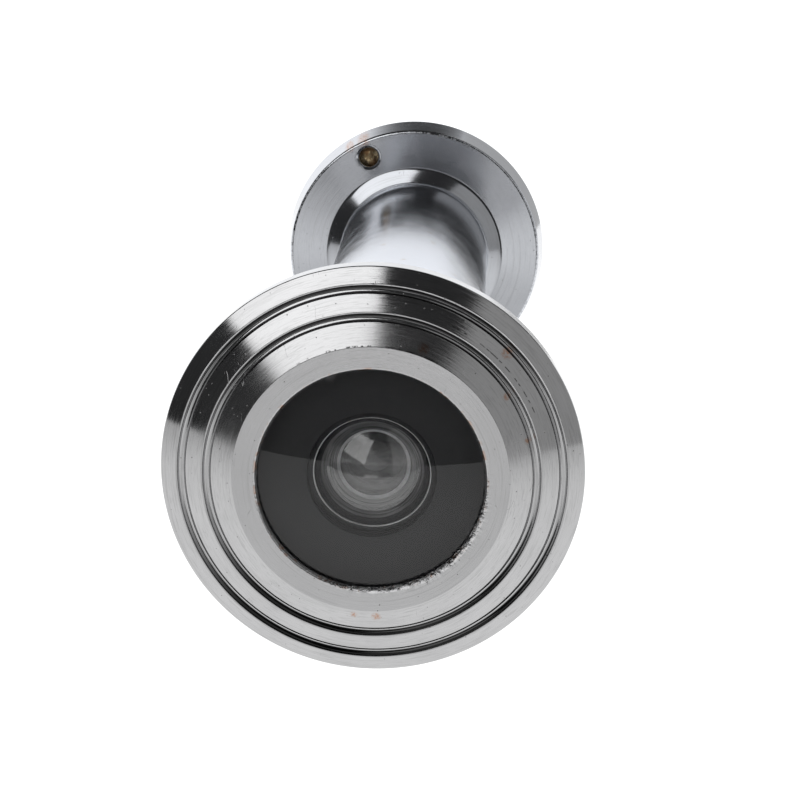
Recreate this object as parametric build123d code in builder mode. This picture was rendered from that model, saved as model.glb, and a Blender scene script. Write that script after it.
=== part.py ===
from build123d import *
from math import cos, radians, sin, sqrt, tan
import os

# A door viewer: a wide-angle lens outside, an eyepiece inside, and a screw thread that clamps the two flanges
# onto the door. The Y axis is the line of sight: -Y is outdoors, +Y is indoors, +Z is up. The origin is on the
# line of sight, in the plane where the outdoor flange seats on the door. Sizes are in millimetres.

# Driving dimensions
door_gap = 60.0  # distance between the two seating faces, as drawn
closing_travel = 25.0  # how far the indoor half can still screw in, for a 35 mm door
thread_pitch = 1.0
front_radius = 13.0
rear_radius = 11.55
sleeve_radius = 6.5  # passes a 14 mm hole in the door
sleeve_bore = 5.75
barrel_radius = 5.68  # over the thread's crests
barrel_bore = 4.9
opening_radius = 6.9  # clear opening in front of the big lens
lens_radius = 7.25
clearance = 0.02  # between the eyepiece lens and its cell

# Outdoor flange: heights above its seating face
rim_height = 1.05
flat_height = 2.75
bevel_width = 0.1
bevel_height = 0.14
cone_slope = 26.0
land_width = 0.1
groove_radius = 0.26
outer_cone_end = 12.03
inner_cone_end = 10.42
flat_edge_radius = 8.45
pocket_radius = 7.3
pocket_floor = 0.5
lip_edge = 2.47
lip_root = 2.33  # underside of the lip, at the pocket's wall
lip_top_radius = 7.05
front_hub_length = 1.0

# Barrel and its lens stack, as Y positions
head_thickness = 0.35
mask_thickness = 0.1
barrel_end = 33.5
thread_start = 1.4
thread_depth = 0.3
thread_root_width = 0.2
thread_crest_width = 0.02
lens_dome = 0.75
hollow_radius = 3.9
hollow_depth = 1.25
cell_mouth_radius = 3.62
cell_mouth_depth = 0.45  # straight mouth behind the mask
funnel_radius = 3.4
throat_radius = 2.72
throat_depth = 2.1  # from the cell's front to the seat of the second lens
cell_bore = 4.4
second_thickness = 2.2
second_hollow_radius = 2.9
second_hollow_depth = 1.4
spacer_length = 1.1
spacer_radius = 3.4
third_thickness = 1.7
third_hollow_radius = 2.1
third_hollow_depth = 0.9
cushion_radius = 3.3
cushion_length = 0.85
retainer_length = 1.5
retainer_radius = 3.7

# Indoor flange, as distances behind its own seating face
flange_thickness = 3.0
hub_tip_radius = 6.6
hub_cone_radius = 7.72  # where the hub's cone would meet the face
hub_slope = 26.5
hub_fillet = 0.8  # hollow rounding between the face and the cone
face_radius = 11.1
rim_flare = 2.5  # how far back the rim widens to its full radius
back_bevel = 0.3
collar_radius = 6.68
collar_start = 1.05
collar_end = 0.75
closed_gap = 0.2  # left between the sleeve and the outdoor hub when screwed right in
sleeve_seat = 2.2
sleeve_bevel = 0.15
view_radius = 4.4
view_mouth_radius = 5.2
notch_width = 1.6
notch_depth = 0.8
notch_reach = 8.2

# Eyepiece cell
holder_front = -1.0
holder_ledge = 0.5
holder_bore = 5.3
holder_window = 4.7
eyepiece_edge = 1.3
eyepiece_dome = 0.45
eyepiece_bevel = 0.1  # rise of the domed face from the lens's rim to the cell's window

# Cover and its pivot
pivot_distance = 9.6
pivot_lean = 25.0  # from straight up towards -X
cover_radius = 11.3
cover_rim = 0.9
cover_dome = 0.6
cover_bevel = 0.3
cover_seat = 0.95  # height of the flat spot under the spring washer
seat_radius = 2.4
rib_length = 4.4
rib_width = 0.9
rib_distance = 8.8
rib_top = 1.75
washer_thickness = 0.14
running_gap = 0.02
rivet_radius = 0.8
rivet_hole = 0.85
rivet_head_radius = 1.65
rivet_head_height = 0.65
rivet_tail_depth = 0.5
countersink_radius = 1.05
countersink_depth = 0.2
washer_radius = 1.65
spring_gap = 0.4
spring_thickness = 0.3
spring_hole = 0.9

pivot_x = -pivot_distance * sin(radians(pivot_lean))
pivot_z = pivot_distance * cos(radians(pivot_lean))
mask_back = -pocket_floor - head_thickness
mask_front = mask_back - mask_thickness
flange_back = door_gap + flange_thickness
cover_front = flange_back + washer_thickness + running_gap
sleeve_front = closing_travel + front_hub_length + closed_gap
spring_seat = cover_front + cover_seat
rivet_head_seat = spring_seat + spring_gap


def cap(rim_radius, rim_y, apex_y):
    """Three points of a spherical surface's outline, from its apex on the axis to its rim."""
    sagitta = rim_y - apex_y
    sphere = (rim_radius**2 + sagitta**2) / (2 * sagitta)
    middle = rim_radius / 2
    fall = abs(sphere) - sqrt(sphere**2 - middle**2)
    middle_y = apex_y + (fall if sagitta > 0 else -fall)
    return (0, apex_y), (middle, middle_y), (rim_radius, rim_y)


def save(piece, name):
    """Label a finished piece and write its STEP file."""
    piece.part.label = name
    export_step(piece.part, f"parts/{name}.step")


def pivot_plane(y):
    """A plane across the cover's pivot axis at the given Y, facing indoors."""
    return Plane(origin=(pivot_x, y, pivot_z), z_dir=(0, 1, 0))


os.makedirs("parts", exist_ok=True)

# Outdoor half ---------------------------------------------------------------------------------------------

rise = sin(radians(cone_slope)) / cos(radians(cone_slope))
bevel_radius = front_radius - bevel_width
bevel_top = rim_height + bevel_height
outer_land = bevel_top + rise * (bevel_radius - outer_cone_end)
middle_start = outer_cone_end - land_width - 2 * groove_radius
middle_end_height = outer_land + rise * (middle_start - inner_cone_end)
inner_start = inner_cone_end - land_width - 2 * groove_radius

with BuildPart() as front_flange:
    with BuildSketch():
        with BuildLine():
            Polyline(
                (barrel_radius, front_hub_length),
                (sleeve_radius, front_hub_length),
                (sleeve_radius, 0),
                (front_radius, 0),
                (front_radius, -rim_height),
                (bevel_radius, -bevel_top),
                (outer_cone_end, -outer_land),
                (middle_start, -outer_land),
                (inner_cone_end, -middle_end_height),
                (inner_start, -middle_end_height),
                (flat_edge_radius, -flat_height),
                (lip_top_radius, -flat_height),
                (opening_radius, -lip_edge),
                (pocket_radius, -lip_root),
                (pocket_radius, -pocket_floor),
                (barrel_radius, -pocket_floor),
                close=True,
            )
        make_face()
    revolve(axis=Axis.Y)
    with BuildSketch():
        with Locations(
            (outer_cone_end - land_width - groove_radius, -outer_land),
            (inner_cone_end - land_width - groove_radius, -middle_end_height),
        ):
            Circle(groove_radius)
    revolve(axis=Axis.Y, mode=Mode.SUBTRACT)
save(front_flange, "front_flange")

with BuildPart() as threaded_barrel:
    with BuildSketch():
        with BuildLine():
            Polyline(
                (barrel_bore, mask_back),
                (lens_radius, mask_back),
                (lens_radius, -pocket_floor),
                (barrel_radius, -pocket_floor),
                (barrel_radius, barrel_end - thread_depth),
                (barrel_radius - thread_depth, barrel_end),
                (barrel_bore, barrel_end),
                close=True,
            )
        make_face()
    revolve(axis=Axis.Y)
    # The thread is drawn as ring grooves, one per turn, so that the halves can be posed at any angle.
    turns = int((barrel_end - thread_start) / thread_pitch)
    with BuildSketch():
        for turn in range(turns):
            groove_y = thread_start + turn * thread_pitch
            groove_end = groove_y + thread_pitch - thread_crest_width
            root_start = groove_y + (thread_pitch - thread_root_width) / 2
            with BuildLine():
                Polyline(
                    (barrel_radius, groove_y),
                    (barrel_radius - thread_depth, root_start),
                    (barrel_radius - thread_depth, root_start + thread_root_width),
                    (barrel_radius, groove_end),
                    close=True,
                )
            make_face()
    revolve(axis=Axis.Y, mode=Mode.SUBTRACT)
save(threaded_barrel, "threaded_barrel")

front_rim = -lip_root + 0.03
with BuildPart() as front_lens:
    with BuildSketch():
        with BuildLine():
            ThreePointArc(*cap(lens_radius, front_rim, front_rim - lens_dome))
            Polyline((lens_radius, front_rim), (lens_radius, mask_front), (hollow_radius, mask_front))
            ThreePointArc(*cap(hollow_radius, mask_front, mask_front - hollow_depth))
            Line((0, mask_front - hollow_depth), (0, front_rim - lens_dome))
        make_face()
    revolve(axis=Axis.Y)
save(front_lens, "front_lens")

with BuildPart() as lens_mask:
    with BuildSketch():
        with BuildLine():
            Polyline(
                (hollow_radius, mask_front),
                (lens_radius, mask_front),
                (lens_radius, mask_back),
                (hollow_radius, mask_back),
                close=True,
            )
        make_face()
    revolve(axis=Axis.Y)
save(lens_mask, "lens_mask")

cell_front = mask_back
second_front = cell_front + throat_depth
second_back = second_front + second_thickness
spacer_back = second_back + spacer_length
third_back = spacer_back + third_thickness
cell_back = third_back + cushion_length
with BuildPart() as lens_cell:
    with BuildSketch():
        with BuildLine():
            Polyline(
                (cell_mouth_radius, cell_front),
                (barrel_bore, cell_front),
                (barrel_bore, cell_back),
                (cell_bore, cell_back),
                (cell_bore, second_front),
                (throat_radius, second_front),
                (funnel_radius, cell_front + cell_mouth_depth),
                (cell_mouth_radius, cell_front + cell_mouth_depth),
                close=True,
            )
        make_face()
    revolve(axis=Axis.Y)
save(lens_cell, "lens_cell")

with BuildPart() as second_lens:
    with BuildSketch():
        with BuildLine():
            Polyline(
                (0, second_front),
                (cell_bore, second_front),
                (cell_bore, second_back),
                (second_hollow_radius, second_back),
            )
            ThreePointArc(*cap(second_hollow_radius, second_back, second_back - second_hollow_depth))
            Line((0, second_back - second_hollow_depth), (0, second_front))
        make_face()
    revolve(axis=Axis.Y)
save(second_lens, "second_lens")

with BuildPart() as lens_spacer:
    with BuildSketch():
        with BuildLine():
            Polyline(
                (spacer_radius, second_back),
                (cell_bore, second_back),
                (cell_bore, spacer_back),
                (spacer_radius, spacer_back),
                close=True,
            )
        make_face()
    revolve(axis=Axis.Y)
save(lens_spacer, "lens_spacer")

with BuildPart() as third_lens:
    with BuildSketch():
        with BuildLine():
            Polyline(
                (0, spacer_back), (cell_bore, spacer_back), (cell_bore, third_back), (third_hollow_radius, third_back)
            )
            ThreePointArc(*cap(third_hollow_radius, third_back, third_back - third_hollow_depth))
            Line((0, third_back - third_hollow_depth), (0, spacer_back))
        make_face()
    revolve(axis=Axis.Y)
save(third_lens, "third_lens")

with BuildPart() as cushion_ring:
    with BuildSketch():
        with BuildLine():
            Polyline(
                (cushion_radius, third_back),
                (cell_bore, third_back),
                (cell_bore, cell_back),
                (cushion_radius, cell_back),
                close=True,
            )
        make_face()
    revolve(axis=Axis.Y)
save(cushion_ring, "cushion_ring")

with BuildPart() as cell_retaining_ring:
    with BuildSketch():
        with BuildLine():
            Polyline(
                (retainer_radius, cell_back),
                (barrel_bore, cell_back),
                (barrel_bore, cell_back + retainer_length),
                (retainer_radius, cell_back + retainer_length),
                close=True,
            )
        make_face()
    revolve(axis=Axis.Y)
save(cell_retaining_ring, "cell_retaining_ring")

# Indoor half ----------------------------------------------------------------------------------------------

slope = radians(hub_slope)
hub_height = (hub_cone_radius - hub_tip_radius) * tan(slope)
fillet_reach = hub_fillet * tan(slope / 2)
fillet_centre = hub_cone_radius + fillet_reach
with BuildPart() as rear_flange:
    with BuildSketch():
        with BuildLine():
            Polyline(
                (sleeve_radius, door_gap - hub_height),
                (hub_tip_radius, door_gap - hub_height),
                (hub_cone_radius - fillet_reach * cos(slope), door_gap - fillet_reach * sin(slope)),
            )
            ThreePointArc(
                (hub_cone_radius - fillet_reach * cos(slope), door_gap - fillet_reach * sin(slope)),
                (fillet_centre - hub_fillet * sin(slope / 2), door_gap - hub_fillet * (1 - cos(slope / 2))),
                (fillet_centre, door_gap),
            )
            Polyline(
                (fillet_centre, door_gap),
                (face_radius, door_gap),
                (rear_radius, door_gap + rim_flare),
                (rear_radius, flange_back - back_bevel),
                (rear_radius - back_bevel, flange_back),
                (view_mouth_radius, flange_back),
                (view_radius, door_gap + sleeve_seat),
                (sleeve_radius, door_gap + sleeve_seat),
                (sleeve_radius, door_gap - hub_height),
            )
        make_face()
    revolve(axis=Axis.Y)
    # Two spanner notches beside the eyepiece, level with the pivot's quarter turn
    with BuildSketch(Plane(origin=(0, flange_back, 0), z_dir=(0, 1, 0))):
        Rectangle(2 * notch_reach, notch_width, rotation=pivot_lean)
    extrude(amount=-notch_depth, mode=Mode.SUBTRACT)
    # Hole for the cover's rivet, countersunk on the door side
    with BuildSketch(pivot_plane(door_gap)):
        Circle(rivet_hole)
    extrude(amount=flange_thickness, mode=Mode.SUBTRACT)
    with BuildSketch(pivot_plane(door_gap)):
        Circle(countersink_radius)
    with BuildSketch(pivot_plane(door_gap + countersink_depth)):
        Circle(rivet_hole)
    loft(mode=Mode.SUBTRACT)
save(rear_flange, "rear_flange")

with BuildPart() as threaded_sleeve:
    with BuildSketch():
        with BuildLine():
            Polyline(
                (sleeve_bore, sleeve_front),
                (sleeve_radius - sleeve_bevel, sleeve_front),
                (sleeve_radius, sleeve_front + sleeve_bevel),
                (sleeve_radius, door_gap - collar_start),
                (collar_radius, door_gap - collar_start),
                (collar_radius, door_gap - collar_end),
                (sleeve_radius, door_gap - collar_end),
                (sleeve_radius, door_gap + sleeve_seat),
                (sleeve_bore, door_gap + sleeve_seat),
                close=True,
            )
        make_face()
    revolve(axis=Axis.Y)
save(threaded_sleeve, "threaded_sleeve")

holder_start = door_gap + holder_front
holder_end = door_gap + sleeve_seat
with BuildPart() as eyepiece_holder:
    with BuildSketch():
        with BuildLine():
            Polyline(
                (holder_window, holder_start),
                (sleeve_bore, holder_start),
                (sleeve_bore, holder_end),
                (holder_bore, holder_end),
                (holder_bore, holder_start + holder_ledge),
                (holder_window, holder_start + holder_ledge),
                close=True,
            )
        make_face()
    revolve(axis=Axis.Y)
save(eyepiece_holder, "eyepiece_holder")

eyepiece_start = holder_start + holder_ledge + eyepiece_bevel + clearance
eyepiece_end = eyepiece_start + eyepiece_edge
with BuildPart() as eyepiece_lens:
    with BuildSketch():
        with BuildLine():
            ThreePointArc(*cap(holder_bore - clearance, eyepiece_start, eyepiece_start - eyepiece_dome))
            Line((holder_bore - clearance, eyepiece_start), (holder_bore - clearance, eyepiece_end))
            ThreePointArc(*cap(holder_bore - clearance, eyepiece_end, eyepiece_end + eyepiece_dome))
            Line((0, eyepiece_end + eyepiece_dome), (0, eyepiece_start - eyepiece_dome))
        make_face()
    revolve(axis=Axis.Y)
save(eyepiece_lens, "eyepiece_lens")

with BuildPart() as eyepiece_retaining_ring:
    with BuildSketch():
        with BuildLine():
            Polyline(
                (holder_window, eyepiece_end + eyepiece_bevel + clearance),
                (holder_bore, eyepiece_end + clearance),
                (holder_bore, holder_end),
                (holder_window, holder_end),
                close=True,
            )
        make_face()
    revolve(axis=Axis.Y)
save(eyepiece_retaining_ring, "eyepiece_retaining_ring")

with BuildPart() as friction_washer:
    with BuildSketch(pivot_plane(flange_back)):
        Circle(washer_radius)
        Circle(rivet_hole, mode=Mode.SUBTRACT)
    extrude(amount=washer_thickness)
save(friction_washer, "friction_washer")

with BuildPart() as wave_washer:
    with BuildSketch(pivot_plane(spring_seat + (spring_gap - spring_thickness) / 2)):
        Circle(rivet_head_radius)
        Circle(spring_hole, mode=Mode.SUBTRACT)
    extrude(amount=spring_thickness)
save(wave_washer, "wave_washer")

with BuildPart() as cover_rivet:
    with BuildSketch(pivot_plane(door_gap + rivet_tail_depth)):
        Circle(rivet_radius)
    extrude(amount=rivet_head_seat - door_gap - rivet_tail_depth)
    with BuildSketch(pivot_plane(rivet_head_seat)):
        Circle(rivet_head_radius)
    extrude(amount=rivet_head_height)
    fillet(cover_rivet.faces().sort_by(Axis.Y)[-1].edges(), rivet_head_height * 0.8)
save(cover_rivet, "cover_rivet")

# Cover ----------------------------------------------------------------------------------------------------

rim_back = cover_front + cover_rim
with BuildPart() as privacy_cover:
    with BuildSketch():
        with BuildLine():
            Polyline(
                (0, cover_front),
                (cover_radius, cover_front),
                (cover_radius, rim_back - cover_bevel),
                (cover_radius - cover_bevel, rim_back),
            )
            ThreePointArc(*cap(cover_radius - cover_bevel, rim_back, rim_back + cover_dome))
            Line((0, rim_back + cover_dome), (0, cover_front))
        make_face()
    revolve(axis=Axis.Y)
    # Flat spot for the spring washer, and the rivet's hole
    with BuildSketch(pivot_plane(spring_seat)):
        Circle(seat_radius)
    extrude(amount=cover_dome, mode=Mode.SUBTRACT)
    with BuildSketch(pivot_plane(cover_front)):
        Circle(rivet_hole)
    extrude(amount=cover_seat, mode=Mode.SUBTRACT)
    # Thumb rib opposite the pivot
    rib_place = Plane(
        origin=(rib_distance * sin(radians(pivot_lean)), rim_back, -rib_distance * cos(radians(pivot_lean))),
        x_dir=(cos(radians(pivot_lean)), 0, sin(radians(pivot_lean))),
        z_dir=(0, 1, 0),
    )
    with BuildSketch(rib_place):
        SlotOverall(rib_length, rib_width)
    extrude(amount=rib_top - cover_rim)
save(privacy_cover, "privacy_cover")
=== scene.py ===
import math

import bmesh
import bpy
from mathutils import Matrix, Vector, noise


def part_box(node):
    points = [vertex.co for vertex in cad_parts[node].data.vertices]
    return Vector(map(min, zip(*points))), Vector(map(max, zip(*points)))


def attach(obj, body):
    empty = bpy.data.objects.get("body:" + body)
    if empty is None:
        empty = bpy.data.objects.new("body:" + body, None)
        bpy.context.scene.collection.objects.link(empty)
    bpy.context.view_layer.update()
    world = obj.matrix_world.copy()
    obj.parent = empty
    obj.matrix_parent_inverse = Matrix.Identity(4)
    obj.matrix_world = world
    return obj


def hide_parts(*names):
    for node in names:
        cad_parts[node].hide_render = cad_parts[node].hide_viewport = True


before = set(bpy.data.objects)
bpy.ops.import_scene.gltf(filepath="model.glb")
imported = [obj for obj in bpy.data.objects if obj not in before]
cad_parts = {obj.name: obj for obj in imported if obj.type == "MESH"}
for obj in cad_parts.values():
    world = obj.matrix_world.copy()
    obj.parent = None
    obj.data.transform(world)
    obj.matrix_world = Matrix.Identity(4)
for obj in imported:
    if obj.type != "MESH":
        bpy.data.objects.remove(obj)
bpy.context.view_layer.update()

# A door viewer. Outlines are (radius, y) points in millimetres about the line of sight, which is the Y axis:
# -Y is outdoors and +Y indoors. Meshes are made in metres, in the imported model's own frame.
MM = 0.001
STEPS = 256  # facets round a turned piece
RING_STEPS = 128  # and round the barrel and the small rings
PIVOT_STEPS = 96  # and round the pieces on the rivet
SHARP = math.radians(32)  # edges sharper than this stay crisp
GLASS_IOR = 1.5
FILM_IOR = 1.7


def low_y(node):
    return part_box(node)[0].y / MM


def high_y(node):
    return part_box(node)[1].y / MM


def radius_of(node):
    low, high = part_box(node)
    return (high.x - low.x) / 2 / MM


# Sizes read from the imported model
front_radius = radius_of("front_flange")
front_face = low_y("front_flange")
hub_back = high_y("front_flange")
barrel_end = high_y("threaded_barrel")
head_back = -0.5
mask_front = low_y("lens_mask")
mask_back = high_y("lens_mask")
lens_radius = radius_of("front_lens")
lens_apex = low_y("front_lens")
cell_back = high_y("lens_cell")
second_front = low_y("second_lens")
second_back = high_y("second_lens")
third_front = low_y("third_lens")
third_back = high_y("third_lens")
cushion_back = high_y("cushion_ring")
ring_back = high_y("cell_retaining_ring")
sleeve_front = low_y("threaded_sleeve")
sleeve_back = high_y("threaded_sleeve")
collar_radius = radius_of("threaded_sleeve")
flange_back = high_y("rear_flange")
rear_radius = radius_of("rear_flange")
hub_tip = low_y("rear_flange")
holder_front = low_y("eyepiece_holder")
washer_back = high_y("friction_washer")
washer_radius = radius_of("friction_washer")
cover_front = low_y("privacy_cover")
cover_radius = radius_of("privacy_cover")
spring_low = low_y("wave_washer")
spring_high = high_y("wave_washer")
rivet_tail = low_y("cover_rivet")
rivet_top = high_y("cover_rivet")
head_radius = radius_of("cover_rivet")
pivot_x, _, pivot_z = [(a + b) / 2 / MM for a, b in zip(*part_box("friction_washer"))]
pivot = (pivot_x, pivot_z)
pivot_angle = math.atan2(pivot_z, pivot_x)

# Sizes that the boxes don't give
door_face = 60.0
bore = 5.68
tube_radius = 6.5
tube_bore = 5.75
light_bore = 4.9
cell_bore = 4.4
opening = 6.9
pocket = 7.3
cone_slope = math.tan(math.radians(26))
cone_ends = (12.03, 10.42)  # inner edges of the outdoor face's outer and middle cones
groove, land = 0.26, 0.1  # the half-round grooves' radius, and the narrow flat outside each
groove_middles = [end - land - groove for end in cone_ends]
flat_edge = 8.45  # outer edge of the flat ring round the lens
face_edge = 11.1  # outer edge of the indoor flange's door side
flare_depth = 2.5  # how far back from there the rim widens to its full radius
window = 4.7  # opening of the eyepiece's holder and ring
holder_bore = 5.3


# Outlines --------------------------------------------------------------------------------------------------


def arc(centre_radius, centre_y, size, start, end, steps):
    """Points of an arc in an outline, in degrees from +radius towards +y, without its two ends."""
    points = []
    for i in range(1, steps):
        a = math.radians(start + (end - start) * i / steps)
        points.append((centre_radius + size * math.cos(a), centre_y + size * math.sin(a)))
    return points


def dome(rim_radius, rim_y, apex_y, steps):
    """Points of a spherical surface's outline, from its apex on the axis to its rim."""
    sagitta = rim_y - apex_y
    sphere = (rim_radius**2 + sagitta**2) / (2 * sagitta)
    points = []
    for i in range(steps + 1):
        r = rim_radius * i / steps
        drop = abs(sphere) - math.sqrt(sphere**2 - r**2)
        points.append((r, apex_y + math.copysign(drop, sagitta)))
    return points


def rounded(corners):
    """A closed outline whose corners (radius, y, rounding) are rounded off, with a point on each side of
    every rounding that keeps the flats' shading flat."""
    points, support = [], 0.03
    count = len(corners)
    for i, corner in enumerate(corners):
        here = Vector(corner[:2])
        size = corner[2] if len(corner) > 2 else 0
        before = Vector(corners[i - 1][:2]) - here
        after = Vector(corners[(i + 1) % count][:2]) - here
        if not size or not before.length or not after.length:
            points.append(tuple(here))
            continue
        turn = math.pi - before.angle(after)
        cut = min(size * math.tan(turn / 2), 0.45 * before.length, 0.45 * after.length)
        start, end = here + before.normalized() * cut, here + after.normalized() * cut
        if before.length > 3 * (cut + support):
            points.append(tuple(start + before.normalized() * support))
        steps = max(2, math.ceil(math.degrees(turn) / 15))
        for k in range(steps + 1):
            t = k / steps
            points.append(tuple((1 - t) ** 2 * start + 2 * t * (1 - t) * here + t * t * end))
        if after.length > 3 * (cut + support):
            points.append(tuple(end + after.normalized() * support))
    return points


# Meshes ----------------------------------------------------------------------------------------------------


def finish_mesh(obj):
    """Merge doubles, point the faces outwards and smooth all but the sharp edges."""
    work = bmesh.new()
    work.from_mesh(obj.data)
    bmesh.ops.remove_doubles(work, verts=work.verts, dist=1e-8)
    bmesh.ops.dissolve_degenerate(work, dist=1e-9, edges=work.edges)
    bmesh.ops.recalc_face_normals(work, faces=work.faces)
    for face in work.faces:
        face.smooth = True
    for edge in work.edges:
        edge.smooth = len(edge.link_faces) == 2 and edge.calc_face_angle(0) < SHARP
    work.to_mesh(obj.data)
    work.free()
    return obj


def new_object(name, verts, faces):
    mesh = bpy.data.meshes.new(name)
    mesh.from_pydata(verts, [], faces)
    obj = bpy.data.objects.new(name, mesh)
    bpy.context.scene.collection.objects.link(obj)
    return obj


def turned(outline, steps, centre, closed):
    """Vertices and faces of an outline turned about a line along Y through centre (x, z)."""
    verts, faces, rows = [], [], []
    for radius, y in outline:
        start = len(verts)
        if radius < 1e-6:
            verts.append((centre[0] * MM, y * MM, centre[1] * MM))
            rows.append([start] * steps)
            continue
        for k in range(steps):
            a = 2 * math.pi * k / steps
            verts.append(
                ((centre[0] + radius * math.cos(a)) * MM, y * MM, (centre[1] + radius * math.sin(a)) * MM)
            )
        rows.append(list(range(start, start + steps)))
    pairs = list(zip(rows, rows[1:]))
    if closed:
        pairs.append((rows[-1], rows[0]))
    for lower, upper in pairs:
        for k in range(steps):
            n = (k + 1) % steps
            corners = [lower[k], lower[n], upper[n], upper[k]]
            face = [c for i, c in enumerate(corners) if c not in corners[:i]]
            if len(face) > 2:
                faces.append(face)
    return verts, faces


def lathe(name, outline, steps=STEPS, centre=(0, 0)):
    return finish_mesh(new_object(name, *turned(outline, steps, centre, closed=True)))


def combine(obj, other, operation):
    """Cut other out of obj, or join it to obj, and remove other."""
    modifier = obj.modifiers.new("combine", "BOOLEAN")
    modifier.object = other
    modifier.operation = operation
    modifier.solver = "EXACT"
    bpy.context.view_layer.update()
    graph = bpy.context.evaluated_depsgraph_get()
    result = bpy.data.meshes.new_from_object(obj.evaluated_get(graph), depsgraph=graph)
    obj.modifiers.clear()
    obj.data = result
    bpy.data.objects.remove(other)
    return finish_mesh(obj)


def ripple(obj, change):
    """Move every vertex by change(radius, y, angle), which gives (radius, y), all in millimetres."""
    for vertex in obj.data.vertices:
        x, y, z = vertex.co / MM
        angle = math.atan2(z, x)
        radius, new_y = change(math.hypot(x, z), y, angle)
        vertex.co = Vector((radius * math.cos(angle), new_y, radius * math.sin(angle))) * MM
    return obj


def put(obj, body, nodes, slot, *materials):
    """Give a finished piece its materials and body, and hide the CAD node that it stands for. slot is not
    used.
    """
    for material in materials:
        obj.data.materials.append(material)
    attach(obj, body)
    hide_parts(nodes)
    return obj


def section(inner, outer, front, back, inner_rounding=0, outer_rounding=0):
    """Corners of a plain ring's section."""
    return [
        (inner, front, inner_rounding),
        (outer, front, outer_rounding),
        (outer, back, outer_rounding),
        (inner, back, inner_rounding),
    ]


def ring(name, corners, body, node, slot, material, steps=RING_STEPS, centre=(0, 0)):
    """A whole turned piece, from the corners of its section."""
    return put(lathe(name, rounded(corners), steps, centre), body, node, slot, material)


# Materials -------------------------------------------------------------------------------------------------


class Shader:
    """One material's node tree. A value is a number, a colour or another node's output."""

    def __init__(self, name):
        self.material = bpy.data.materials.new(name)
        self.material.use_nodes = True
        self.tree = self.material.node_tree
        self.tree.nodes.clear()
        coordinates = self.node("TexCoord", {})
        place = self.vector("SCALE", coordinates.outputs["Object"], scale=1 / MM)
        split = self.node("SeparateXYZ", {0: place})
        self.x, self.y, self.z = split.outputs
        self.place = place

    def node(self, kind, inputs, **settings):
        made = self.tree.nodes.new("ShaderNode" + kind)
        for key, value in settings.items():
            setattr(made, key, value)
        for key, value in inputs.items():
            if isinstance(value, bpy.types.NodeSocket):
                self.tree.links.new(value, made.inputs[key])
            else:
                made.inputs[key].default_value = value
        return made

    def math(self, operation, *values):
        return self.node("Math", dict(enumerate(values)), operation=operation).outputs[0]

    def vector(self, operation, a, b=None, scale=1.0):
        inputs = {0: a, 3: scale} if b is None else {0: a, 1: b}
        made = self.node("VectorMath", inputs, operation=operation)
        return made.outputs["Value" if operation in ("LENGTH", "DOT_PRODUCT") else "Vector"]

    def noise(self, where, scale, detail=2.0, roughness=0.5):
        inputs = {"Vector": where, "Scale": scale, "Detail": detail, "Roughness": roughness}
        return self.node("TexNoise", inputs).outputs["Fac"]

    def ramp(self, value, low, high, start=0.0, end=1.0):
        """Takes value from low to high smoothly to start to end, held at both ends."""
        inputs = {"Value": value, "From Min": low, "From Max": high, "To Min": start, "To Max": end}
        return self.node("MapRange", inputs, interpolation_type="SMOOTHSTEP").outputs[0]

    def mix(self, factor, a, b):
        return self.node("Mix", {0: factor, 6: a, 7: b}, data_type="RGBA").outputs[2]

    def polar(self, centre):
        """Radius about a line along Y, in millimetres, and the cosine and sine of the angle round it."""
        x = self.math("SUBTRACT", self.x, centre[0])
        z = self.math("SUBTRACT", self.z, centre[1])
        square = self.math("ADD", self.math("MULTIPLY", x, x), self.math("MULTIPLY", z, z))
        radius = self.math("MAXIMUM", self.math("SQRT", square), 0.01)
        return radius, self.math("DIVIDE", x, radius), self.math("DIVIDE", z, radius)

    def rings(self, polar, per_mm, drift):
        """Noise in rings round a line along Y. The greater drift is, the shorter each ring's arcs are."""
        radius, across, up = polar
        along = self.math("MULTIPLY", self.y, per_mm)
        inputs = {0: self.math("MULTIPLY", radius, per_mm), 1: self.math("MULTIPLY", across, drift)}
        inputs[2] = self.math("MULTIPLY", up, drift)
        where = self.node("CombineXYZ", inputs).outputs[0]
        inputs = {"Vector": where, "W": along, "Scale": 1.0, "Detail": 2.0, "Roughness": 0.6}
        return self.node("TexNoise", inputs, noise_dimensions="4D").outputs["Fac"]

    def band(self, radius, middle, width):
        """1 at a radius, falling to 0 at width away from it."""
        away = self.math("ABSOLUTE", self.math("SUBTRACT", radius, middle))
        return self.ramp(away, 0.0, width, 1.0, 0.0)

    def bump(self, height, depth_mm, under=None):
        """A normal that follows height, which is depth_mm deep."""
        inputs = {"Height": height, "Distance": depth_mm * MM, "Strength": 1.0}
        if under is not None:
            inputs["Normal"] = under
        return self.node("Bump", inputs).outputs[0]

    def surface(self, inputs, **settings):
        shader = self.node("BsdfPrincipled", inputs, **settings)
        self.node("OutputMaterial", {"Surface": shader.outputs[0]})
        return self.material


def grey(value, tint=(1.0, 1.0, 1.0)):
    return (value * tint[0], value * tint[1], value * tint[2], 1.0)


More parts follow.
